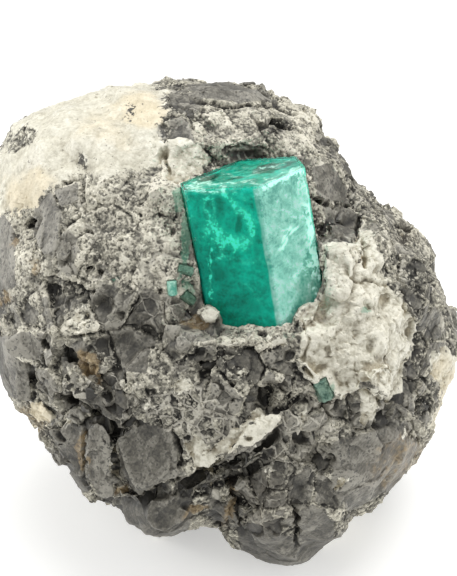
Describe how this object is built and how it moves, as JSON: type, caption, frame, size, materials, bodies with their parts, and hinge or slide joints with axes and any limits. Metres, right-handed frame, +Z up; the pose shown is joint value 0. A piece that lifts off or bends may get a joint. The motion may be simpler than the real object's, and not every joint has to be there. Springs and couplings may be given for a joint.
{
  "type": "emerald in matrix",
  "caption": "Six-sided green emerald prism standing in a boulder of black shale breccia and white calcite, with small emerald crystals beside it.",
  "frame": {"origin": "middle of the flat broken face that the stone rests on", "axes": "+Z up out of the resting face, the display face with the emerald towards -Y and leaning back, +X to the right as seen from the front"},
  "size_m": [0.0768, 0.0712, 0.0701],
  "materials": {
    "shale_and_calcite": "rough broken black shale with white calcite",
    "emerald": "clear deep green crystal, smooth faces",
    "pale_emerald": "clear pale green crystal"
  },
  "bodies": {
    "root": {"matrix": "shale_and_calcite", "emerald": "emerald", "small_emerald_1": "pale_emerald", "small_emerald_2": "pale_emerald", "small_emerald_3": "pale_emerald", "small_emerald_4": "pale_emerald"}
  },
  "joints": []
}
